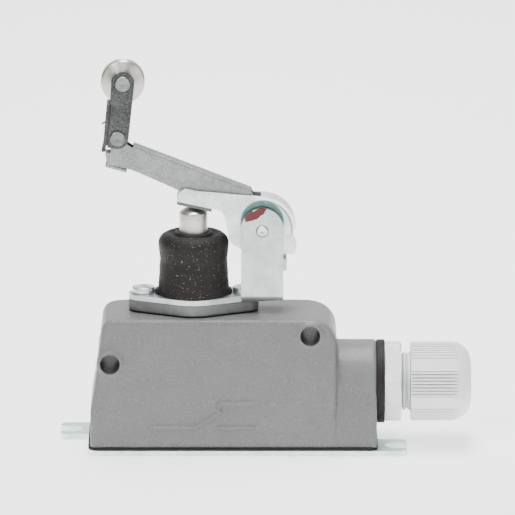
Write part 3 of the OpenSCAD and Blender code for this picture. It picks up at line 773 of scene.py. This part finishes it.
def head_flange():
    """Cast flange with a spigot that drops into the housing, bored for the guide bush."""
    low, high = span("head_flange")
    foot = span("head_gasket")[1].z
    flange = bevelled(prism("flange_casting", head_outline(), "z", foot, high.z), 0.45, 3)
    spigot = [(5.6, low.z), (8.2, low.z), (8.4, low.z + 0.3), (8.4, foot + 0.4), (5.6, foot + 0.4)]
    combined(flange, lathe("spigot", spigot, "z", (HEAD_X, 0), 64, closed=True), how="UNION")
    bush_r = (span("guide_bush")[1].x - span("guide_bush")[0].x) / 2
    combined(flange, rod((HEAD_X, 0), bush_r, "z", low.z - 1, high.z + 1))
    modified(flange, "SUBSURF", subdivision_type="SIMPLE", levels=2, render_levels=2)
    for vert in flange.data.vertices:
        if vert.co.z > foot * MM:
            spot = vert.co / MM * 0.7
            ripple = [noise.noise(spot + Vector((0, 0, shift))) for shift in (0, 17, 31)]
            vert.co += 0.05 * MM * Vector(ripple)
    dress(smoothed(flange), "head_flange")


def lever_bracket():
    """Stamped plate with two ears folded up for the pivot, and a stop bar between them."""
    low, high = span("lever_bracket")
    sheet = 1.5
    left, right = PIVOT[0] - 6, PIVOT[0] + 6
    ear_y = span("pivot_pin")[1].y - 0.5
    floor_plan = [p for p in head_outline() if p[0] < left]
    floor_plan += [(left, -ear_y), (right, -ear_y), (right, ear_y), (left, ear_y)]
    arch = arc((PIVOT[0], high.z - 6), 6, 0, 180, 28)
    panels = []
    for side in (-1, 1):
        panels.append([(right, side * ear_y, low.z), *[(x, side * ear_y, z) for x, z in arch],
                       (left, side * ear_y, low.z)])
    panels.append([(x, y, low.z) for x, y in floor_plan])
    bracket = folded("stamped_bracket", panels, sheet, 2.0)
    bar = bevelled(block("bar", (right - 1.1, -ear_y + 0.4, 51.5), (right + 1, ear_y - 0.4, 55)), 0.3)
    combined(bracket, bar, how="UNION")
    boot_hole = rod((HEAD_X, 0), 9.1, "z", low.z - 1, low.z + sheet + 1, 72)
    pin_hole = rod(PIVOT, 1.78, "y", -9, 9, 36)
    combined(bracket, boot_hole, pin_hole)
    dress(smoothed(bevelled(bracket, 0.16, 2, 50)), "lever_bracket", marked_zinc())


def cheese_head(at, head_r, low, high, shank_r, tip, pitch=0.8):
    """A slotted screw with its head from low to high and its shank on to tip, above or below."""
    up = 1 if high > low else -1
    edge = 0.35 * up
    profile = [(0, high), (head_r - 0.45, high), (head_r - 0.12, high - 0.4 * edge), (head_r, high - edge),
               (head_r, low + 0.2 * up), (head_r - 0.2, low), (shank_r, low)]
    shank = threaded(shank_r, min(low, tip), max(low, tip), pitch, 0.12 * shank_r)
    profile += [(r, z) for r, z in (shank[::-1] if up > 0 else shank)] + [(0, tip)]
    screw = lathe("screw", profile, "z", at, 40)
    slot_low, slot_high = sorted((high - 0.9 * up, high + up))
    slot = block("slot", (-head_r - 1, -0.5, slot_low), (head_r + 1, 0.5, slot_high))
    turn = 0.3 * at[0] + 0.5
    for vert in slot.data.vertices:
        x, y = vert.co.x, vert.co.y
        vert.co.x = x * math.cos(turn) - y * math.sin(turn) + at[0] * MM
        vert.co.y = x * math.sin(turn) + y * math.cos(turn) + at[1] * MM
    return combined(screw, slot)


def head_screws():
    low, high = span("head_screws")
    seat = span("head_flange")[1].z + 1.5
    screws = [cheese_head((HEAD_X + side * SCREW_DX, 0), HEAD_SCREW_R, seat, high.z, 1.95, low.z)
              for side in (-1, 1)]
    dress(smoothed(joined("cheese_head_screws", screws)), "head_screws")


def boot():
    """Moulded rubber sleeve: a foot, a waisted wall, a rounded shoulder and a thin collar."""
    low, high = span("boot")
    base = low.z
    outer = [(10.3, base), (10.35, base + 0.6), (10.15, base + 1.0), (9.8, base + 5.4), (9.5, base + 9.9)]
    outer += arc((6.9, base + 14.5), 3.1, -8, 82, 10)
    outer += [(6.1, base + 16.9), (5.6, base + 17.2), (5.35, high.z - 0.12), (5.0, high.z)]
    inner = [(4.3, high.z), (4.06, high.z - 0.3), (4.06, high.z - 1.8)]
    inner += arc((6.9, base + 14.1), 1.8, 100, -15, 8)
    inner += [(8.1, base + 9.9), (8.5, base + 5.4), (9.1, base + 0.9), (9.1, base)]
    profile = refined(outer + inner + [outer[0]], 0.45)[:-1]

    def skirt(radius, along, turn):
        """The foot reaches out a little towards each screw."""
        aim = abs(math.cos(turn))
        reach = 0.7 * max(0, (aim - 0.93) / 0.07) if radius > 9.9 and along < base + 1.2 else 0
        return radius + reach
    sleeve = lathe("rubber_boot", profile, "z", (HEAD_X, 0), 144, skirt, closed=True)
    middle = Vector((HEAD_X * MM, 0, 0))
    for vert in sleeve.data.vertices:
        away = vert.co - middle
        radius = math.hypot(away.x, away.y) / MM
        if radius > 4.6:
            spot = vert.co / MM
            swell = 0.16 * noise.noise(spot * 0.16) + 0.07 * noise.noise(spot * 0.55)
            fade = min(1, (radius - 4.6) / 2)
            vert.co.x += away.x / radius * swell * fade
            vert.co.y += away.y / radius * swell * fade
            vert.co.z += 0.12 * MM * noise.noise(spot * 0.2 + Vector((9, 4, 2))) * fade \
                * min(1, max(0, spot.z - base) / 4)
    sleeve.data.shade_smooth()
    dress(sleeve, "boot", rubber("boot_rubber", 0.75), rides=False)
    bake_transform(sleeve)


def plunger():
    """Turned plunger with a small chamfer under its ground dome."""
    low, high = span("plunger")
    r, dome = 4.0, 1.7
    ball = (r * r + dome * dome) / (2 * dome)
    edge = math.degrees(math.asin((r - 0.18) / ball))
    profile = [(0, low.z), (3.5, low.z), (r, low.z + 0.5), (r, high.z - 3.35), (r - 0.07, high.z - 3.25),
               (r - 0.07, high.z - 3.1), (r, high.z - 3.0), (r, high.z - dome - 0.15)]
    profile += [(ball * math.cos(math.radians(a)), high.z - ball + ball * math.sin(math.radians(a)))
                for a in [90 - edge + edge * i / 9 for i in range(9)]] + [(0, high.z)]
    dress(smoothed(lathe("domed_plunger", profile, "z", (HEAD_X, 0), 72), 30), "plunger")


# ---- Lever ----

def rivet_head(radius, seat, face):
    """Profile of a flat rivet head with a raised rim, from its seat out to its face."""
    rise = face - seat
    return [(radius - 0.1, seat), (radius, seat + 0.2 * rise), (radius, seat + 0.6 * rise),
            (radius - 0.12, seat + 0.88 * rise), (radius - 0.3, face), (radius - 0.45, seat + 0.94 * rise),
            (radius - 0.6, seat + 0.78 * rise), (0.3, seat + 0.82 * rise), (0, seat + 0.7 * rise)]


def two_headed(name, centre, shank, head, seat, face):
    """A rivet across the width with a like head at each end."""
    profile = rivet_head(head, -seat, -face)[::-1] + [(shank, -seat), (shank, seat)]
    return lathe(name, profile + rivet_head(head, seat, face), "y", centre, 56)


def pivot_pin():
    """Pin through both ears, with a chamfered and centre-punched front end."""
    low, high = span("pivot_pin")
    seat = high.y - 0.5
    profile = [(0, low.y + 0.28), (0.22, low.y + 0.1), (0.45, low.y), (1.35, low.y), (1.6, low.y + 0.2),
               (1.6, seat), (1.95, seat), (1.95, high.y - 0.15), (1.8, high.y), (0, high.y)]
    dress(smoothed(lathe("staked_pin", profile, "y", PIVOT, 48), 30), "pivot_pin")


def wall(points, side, half):
    return [(x, side * half, z) for x, z in points]


def web(points, half):
    """Flat strips across the width, one for each stretch of a line."""
    return [[(a[0], -half, a[1]), (b[0], -half, b[1]), (b[0], half, b[1]), (a[0], half, a[1])]
            for a, b in zip(points, points[1:])]


def lips(points, half, width):
    """Narrow strips folded in from both walls along a line."""
    panels = []
    for side in (-1, 1):
        for a, b in zip(points, points[1:]):
            out, inner = side * half, side * (half - width)
            panels.append([(a[0], out, a[1]), (b[0], out, b[1]), (b[0], inner, b[1]), (a[0], inner, a[1])])
    return panels


def hub_lever():
    """Stamped channel: a nose with the pad over the plunger, a round hub and a tail."""
    half = span("hub_lever")[1].y
    x, z = PIVOT
    pad = [(x - 24.2, z + 7.33), (x - 14.3, z + 5.17)]
    seat = [(px, pz + 0.92) for px, pz in pad]
    nose = arc((x - 21.2, z + 8.95), 3, 180, 98, 8) + [(x - 19.3, z + 11.3)]
    hub = arc(PIVOT, 9.6, 92, 4, 22) + [(x + 8.6, z - 2), (x + 9.7, z - 4.8)]
    tail = [(x + 9.4, z - 7), (x + 6.3, z - 7), (x - 0.3, z - 6.4), (x - 5.7, z - 5.8)]
    throat = arc((x - 5.5, z - 1.2), 4.2, 250, 180, 7) + [(x - 10.4, z + 2.6)]
    throat += arc((x - 13.5, z + 3.1), 2.9, 0, 80, 6)
    outline = seat[:1] + nose + hub + tail + throat + seat[1:]
    top = nose[1:] + hub[:1]
    panels = [wall(outline, side, half) for side in (-1, 1)]
    panels += web(hub, half) + lips(top, half, 1.05)
    lever = folded("stamped_hub_lever", panels, 0.9, 0.85)
    combined(lever, rod(PIVOT, 1.68, "y", -9, 9, 36))
    dress(smoothed(bevelled(lever, 0.12, 2, 50)), "hub_lever", hub_zinc())
    # painted shade: the strip of pad under the lever has a dark finish that stands for the shadow beneath it
    pressing_pad = prism("pressing_pad", pad + seat[::-1], "y", -half, half)
    dress(smoothed(bevelled(pressing_pad, 0.12, 2)), "hub_lever",
          metal("pad_painted_shade", (0.06, 0.065, 0.07), (0.16, 0.17, 0.175), 0.3))


def lever_arm():
    """Long channel with a web along its top, a lug for the link's rivet and a lip at its end."""
    half = span("lever_arm")[1].y
    x, z = RIVET
    slope = math.tan(math.radians(21.4))
    web_start, end = (x + 4.6, z - 1.7 - 1.3 * slope), (x + 37.6, z - 1.7 - 34.3 * slope)
    lower = [(x - 3, z - 7.8), (x + 3.3, z - 9.2), (x + 17, z - 15.4), (x + 24.6, z - 18.6)]
    outline = lower + [(x + 35.6, z - 19.6), (x + 38.6, z - 17.4), end, web_start]
    outline += [(web_start[0] - 0.35, web_start[1] - 0.9)]    # steps clear of the web's fold
    outline += arc(RIVET, 2.3, -45, 200, 14) + [(x - 2, z - 4.5), (x - 3.6, z - 4.5)]
    panels = [wall(outline, side, half) for side in (-1, 1)]
    panels += web([end, web_start], half) + lips(lower[1:], half, 1.0)
    arm = folded("stamped_arm", panels, 0.8, 0.75)
    lip = prism("lip", [(x - 3.6, z - 8.6), (x - 3.4, z - 7.6), (x + 2.6, z - 9.4), (x + 2.4, z - 10.3)],
                "y", 0.1 - half, half - 0.1)
    combined(arm, bevelled(lip, 0.2, 2), how="UNION")
    dress(smoothed(bevelled(arm, 0.1, 2, 50)), "lever_arm")


def arm_rivets():
    low, high = span("arm_rivets")
    r, sunk = 0.9, 0.14
    profile = [(0, low.y + sunk), (r, low.y + sunk), (r, high.y - sunk), (0, high.y - sunk)]
    rivets = [lathe("rivet", profile, "y", at, 32)
              for at in ((low.x + r, high.z - r), (high.x - r, low.z + r))]
    dress(smoothed(joined("arm_rivet_pair", rivets), 30), "arm_rivets")


def link_rivet():
    high = span("link_rivet")[1]
    rivet = two_headed("folding_rivet", RIVET, 1.2, 2.2, high.y - 0.8, high.y)
    dress(smoothed(rivet, 30), "link_rivet",
          metal("rivet_steel", (0.16, 0.165, 0.165), (0.26, 0.265, 0.265), 0.3))


# ---- Link and roller ----

def leaned(points):
    """Turns points from upright, about the rivet, to the link's lean."""
    c, s = math.cos(LEAN), math.sin(LEAN)
    return [(RIVET[0] + x * c + y * s, RIVET[1] - x * s + y * c) for x, y in points]


def roller_link():
    """Two cheeks joined by a back plate, with a stop lip at its foot."""
    out_y = span("roller_pin")[1].y - 0.72
    sheet = 1.0
    length = math.dist(RIVET, ROLLER)
    cheek = arc((0, length), 3.3, 0, 172, 22) + [(-3.05, 9.6), (-2.72, 9.2), (-2.65, -2.9)]
    cheek += arc((0, 0), 3.1, 252, 360, 14)
    link = bevelled(prism("folding_link", leaned(cheek), "y", -out_y, sheet - out_y), 0.16, 2)
    far = bevelled(prism("cheek", leaned(cheek), "y", out_y - sheet, out_y), 0.16, 2)
    back = prism("back", leaned([(-3.95, -2.6), (-2.95, -2.6), (-2.95, 9.5), (-3.95, 9.5)]),
                 "y", 0.1 - out_y, out_y - 0.1)
    neck = prism("neck", leaned([(-3.4, -2.4), (-2.5, -2.4), (-2.5, 9.0), (-3.4, 9.0)]),
                 "y", 0.45 - out_y, out_y - 0.45)
    tunnel = prism("tunnel", leaned([(-2.92, -4), (0, -4), (0, 12), (-2.92, 12)]),
                   "y", sheet - out_y, out_y - sheet)
    lip = prism("lip", leaned([(-4.25, -4.6), (-3.1, -4.6), (-3.0, -2.4), (-3.95, -2.4)]), "y", -2.4, 2.4)
    combined(link, far, combined(neck, tunnel), bevelled(back, 0.25), bevelled(lip, 0.2, 2), how="UNION")
    dress(smoothed(link), "roller_link")


def helix(radius, turns, low, high, steps=24):
    """Points of a coil about Z, as (x, y, height)."""
    count = int(turns * steps)
    return [(radius * math.cos(2 * math.pi * i / steps), radius * math.sin(2 * math.pi * i / steps),
             low + (high - low) * i / count) for i in range(count + 1)]


def compression_coil(radius, gauge, turns, low, high):
    """A coil with one closed turn at each end."""
    low, high = low + gauge, high - gauge
    pitch = 2.1 * gauge
    ends = helix(radius, 1, low, low + pitch)
    body = helix(radius, turns - 2, low + pitch, high - pitch)
    last = helix(radius, 1, high - pitch, high)
    turned_on = 2 * math.pi * (turns - 2)
    c, s = math.cos(turned_on), math.sin(turned_on)
    last = [(x * c - y * s, x * s + y * c, h) for x, y, h in last]
    return [(HEAD_X + x, y, h) for x, y, h in ends + body[1:] + last[1:]]


def springs():
    """The return spring and the two small springs that carry the contact bridge."""
    for node, radius, gauge, turns in (("return_spring", 4.8, 0.4, 8), ("upper_spring", 2, 0.2, 6),
                                       ("lower_spring", 2, 0.2, 6)):
        low, high = span(node)
        coil = wire(node + "_wire", compression_coil(radius, gauge, turns, low.z, high.z), gauge)
        coil.data.shade_smooth()
        dress(coil, node, rides=node != "return_spring")
        if node == "return_spring":
            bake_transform(coil)
        if node == "upper_spring":
            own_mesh(coil)


def link_spring():
    """Torsion spring on the rivet, with one leg along the back plate and one in the arm."""
    coil = [(RIVET[0] + x, 1.2 - h, RIVET[1] + y) for x, y, h in helix(1.75, 4, 0, 2.4)]
    back = leaned([(-2.5, 2.2), (-4.1, 3.9), (-4.75, 3.3)])
    leg = [(RIVET[0] - 1.2, -1.25, RIVET[1] + 1.3)] + [(x, -1.4, z) for x, z in back]
    foot = [(RIVET[0] + 2.2, 1.3, RIVET[1] - 1.6), (RIVET[0] + 5, 1.3, RIVET[1] - 4.2)]
    pieces = (("coil", coil), ("leg", leg), ("foot", [coil[0]] + foot))
    spring = joined("torsion_spring", [wire(name, line, 0.25) for name, line in pieces])
    spring.data.shade_smooth()
    dress(spring, "link_spring", metal("spring_dark", (0.04, 0.04, 0.04), (0.1, 0.1, 0.1), 0.35))


def roller_pin():
    high = span("roller_pin")[1]
    pin = two_headed("roller_rivet", ROLLER, 1.5, 2.15, high.y - 0.7, high.y)
    dress(smoothed(pin, 30), "roller_pin",
          metal("pin_steel", (0.2, 0.205, 0.205), (0.32, 0.325, 0.325), 0.3))


def roller():
    """Turned roller: bored, with a recessed face each side and broken edges."""
    high = span("roller")[1]
    half, r = high.y, 6.2
    side = [(1.6, half), (2.6, half), *[(2.6 + 0.4 * i, half - 0.07 * i) for i in range(1, 8)],
            (r - 0.4, half - 0.55), (r - 0.12, half - 0.68), (r, half - 0.92)]
    tread = [(r, (half - 0.92) * (1 - i / 2)) for i in range(1, 4)]
    profile = side + tread + [(radius, -y) for radius, y in side[::-1]]
    turned_roller = smoothed(lathe("turned_roller", profile, "z", (0, 0), 96, closed=True), 25)
    turned_roller.location = ROLLER[0] * MM, 0, ROLLER[1] * MM
    turned_roller.rotation_euler.x = math.pi / 2
    dress(turned_roller, "roller", turned("roller_steel"))


# ---- Cable gland ----

def gland_body():
    """Hexagon with a threaded end in the housing and a threaded neck under the cap nut."""
    low, high = span("gland_body")
    hex_low = span("gland_washer")[1].x
    hex_high = hex_low + 4.7
    flats, turn = 22, math.radians(79)

    def hexagon(radius, along, angle):
        """A true hexagon where the profile is large, with its corners slightly rounded."""
        if radius < 9:
            return radius
        step = math.pi / 3
        off = (angle - turn + step / 2) % step - step / 2
        return min(flats / 2 / math.cos(off), radius)
    corner = flats / 2 / math.cos(math.pi / 6) - 0.22
    profile = [(5.6, low.x), (7.3, low.x), (7.7, low.x + 0.4)]
    profile += threaded(7.9, low.x + 0.5, hex_low - 0.6, 1.41, 0.5)
    profile += [(7.6, hex_low), (corner, hex_low), (corner, hex_high - 0.45),
                (11.6, hex_high - 0.1), (11.1, hex_high), (7.6, hex_high)]
    profile += threaded(8.3, hex_high + 0.2, high.x - 0.4, 1.35, 0.7)
    profile += [(7.9, high.x), (7.1, high.x), (7.1, 55), (5.6, 55)]
    body = lathe("hexagon_body", profile, "x", (0, ENTRY_Z), 180, hexagon, closed=True)
    dress(smoothed(body, 28), "gland_body")


def gland_nut():
    """Cap nut: six flats with eight ribs between each pair, running out on a domed end."""
    low, high = span("gland_nut")
    r, dome = 11.4, 6.0
    thread = 8.4
    profile = [(thread, low.x + 1.2), (9.7, low.x), (r - 0.25, low.x), (r, low.x + 0.25)]
    profile += refined([(r, low.x + 0.25), (r, high.x - dome)], 0.45)[1:]
    profile += arc_along((r - dome, high.x - dome), dome, 14)[1:]
    profile += [(6.4, high.x), (6.4, high.x - 0.6), (thread, high.x - 3.4)]

    def ribbed(radius, along, angle):
        """Six flats with eight grooves in each gap between them."""
        if radius <= thread or along < low.x + 0.1:
            return radius
        sector = math.pi / 3
        off = (angle - FLAT_TURN + sector / 2) % sector - sector / 2
        flat_half = math.radians(10.6)
        if abs(off) < flat_half:
            return min(radius, (r - 0.42) / math.cos(off))
        pitch = (sector - 2 * flat_half) / 8
        phase = ((abs(off) - flat_half) / pitch) % 1
        groove = max(0, 1 - min(phase, 1 - phase) / 0.26)
        return min(radius, r - 0.6 * min(1, 1.6 * groove))
    nut = lathe("ribbed_cap_nut", profile, "x", (0, ENTRY_Z), 720, ribbed, closed=True)
    dress(smoothed(nut, 32), "gland_nut")


# ---- Inside screws and the parts that keep their own shape ----

def screw_places(node, low, high, head):
    """X, Y and lowest Z of each screw of a group."""
    if node == "block_screws":
        return [(low.x + head, low.y + head, low.z), (high.x - head, high.y - head, low.z)]
    rise = high.z - low.z - 4.8
    return [(x, y, z) for x in (low.x + head, high.x - head)
            for y, z in ((high.y - head, low.z + rise), (low.y + head, low.z))]


def inner_screws():
    """Slotted screws of the terminals, the contact block and the earth terminal."""
    for node, name, head, rise, shank in (("terminal_screws", "terminal_screw_set", 2.3, 2.2, 1.25),
                                          ("block_screws", "block_screw_pair", 2.6, 2, 1.4)):
        low, high = span(node)
        screws = []
        for x, y, foot in screw_places(node, low, high, head):
            tip = foot + (4.6 if node == "terminal_screws" else high.z - low.z)
            screws.append(cheese_head((x, y), head, foot + rise, foot, shank, tip, 0.5))
        dress(smoothed(joined(name, screws)), node)
    low, high = span("earth_screw")
    x, y = (low.x + high.x) / 2, (low.y + high.y) / 2
    washer = lathe("washer", [(1.5, 13.2), (2.7, 13.2), (2.8, 13.3), (2.8, 13.9), (1.5, 13.9)], "z",
                   (x, y), 32, closed=True)
    screw = cheese_head((x, y), 2.7, low.z + 2, low.z, 1.4, high.z, 0.5)
    dress(smoothed(joined("earth_terminal_screw", [screw, washer])), "earth_screw")


def kept_nodes():
    """Nodes shown as they are, with their edges broken and their own finishes."""
    for part in frame["record"]["subparts"]:
        node = frame["nodes"][part["node"]]
        if node.hide_render:
            continue
        node.data.materials.clear()
        node.data.materials.append(FINISHES[part["material_slot"]])
        weld = node.modifiers.new("weld", "WELD")
        weld.merge_threshold = 0.005 * MM
        soft = node.modifiers.new("soft_edges", "BEVEL")
        soft.width = 0.12 * MM
        soft.segments = 2
        soft.limit_method = "ANGLE"
        soft.angle_limit = math.radians(45)


# ---- Studio ----

def floor():
    """Pale floor under the whole object; it glows, with a painted pool of light round the object that fades
    to dim grey further out.
    """
    bm = bmesh.new()
    bmesh.ops.create_grid(bm, x_segments=2, y_segments=2, size=3.0)
    ground = meshed("floor", bm)
    ground.location.z = cad_bounds[0][2] - 0.2 * MM
    f = Finish("floor_white", {"Emission Strength": 1.2})
    # painted light: the glow is brightest in a pool round the object and fades further out
    painted_light_pool = f.ramp(f.reach((0, 150, 0), (1, 0.25, 0)), 420, 170)
    f.feed("Emission Color", f.mix(painted_light_pool, (0.12, 0.12, 0.12), (1, 1, 1)))
    f.feed("Base Color", f.mix(f.noise(0.002, 2), (0.86, 0.86, 0.86), (0.9, 0.9, 0.9)))
    f.feed("Roughness", 0.8 + 0.1 * f.noise(0.01, 2))
    ground.data.materials.append(f.material)


def soft_light(name, place, size, power, target=(0, 0, 0.05), spread=180):
    lamp = bpy.data.lights.new(name, "AREA")
    lamp.shape = "RECTANGLE"
    lamp.size, lamp.size_y = size
    lamp.energy = power
    lamp.spread = math.radians(spread)
    light = placed(name, lamp)
    light.location = place
    light.rotation_euler = (Vector(target) - Vector(place)).to_track_quat("-Z", "Y").to_euler()


def studio():
    """A bright plain backdrop all round, dimmer towards the sides, and three soft lights."""
    world = bpy.data.worlds.new("studio")
    bpy.context.scene.world = world
    world.use_nodes = True
    g = Graph(world.node_tree)
    backdrop = world.node_tree.nodes["Background"]
    backdrop.inputs["Color"].default_value = (1, 1, 1, 1)
    look = g.node("ShaderNodeSeparateXYZ", {}, {0: g.node("ShaderNodeTexCoord", output="Generated")})
    seen = g.node("ShaderNodeLightPath", output="Is Camera Ray")
    fill = 0.12 + 0.3 * g.ramp(look.other(2), 0.0, 0.9) + 1.3 * g.ramp(look.other(1), 0.5, 0.95)
    strength = fill * (1 - seen) + 2.4 * seen
    world.node_tree.links.new(strength.socket, backdrop.inputs["Strength"])
    soft_light("top", (0, 0.25, 1.0), (0.35, 1.3), 6.5, (0, 0.25, 0), 75)
    soft_light("key", (-0.45, -0.75, 0.75), (0.3, 0.3), 5.5)
    soft_light("fill", (0.6, -0.8, 0.4), (0.4, 0.5), 2.5)


def camera():
    """Long lens from a little above the front."""
    lens = bpy.data.cameras.new("camera")
    lens.sensor_width = 36
    lens.lens = 541
    view = placed("camera", lens)
    target = Vector((0.00696, 0, 0.05426))
    away, rise = 2.2, math.radians(14)
    view.location = target + away * Vector((0, -math.cos(rise), math.sin(rise)))
    view.rotation_euler = (target - view.location).to_track_quat("-Z", "Y").to_euler()
    bpy.context.scene.camera = view


camera()
floor()
studio()
for build in (base_plate, base_screws, housing, head_flange, lever_bracket, head_screws, boot, plunger,
              pivot_pin, hub_lever, lever_arm, arm_rivets, link_rivet, roller_link, springs, link_spring,
              roller_pin, roller, gland_body, gland_nut, inner_screws, kept_nodes):
    build()
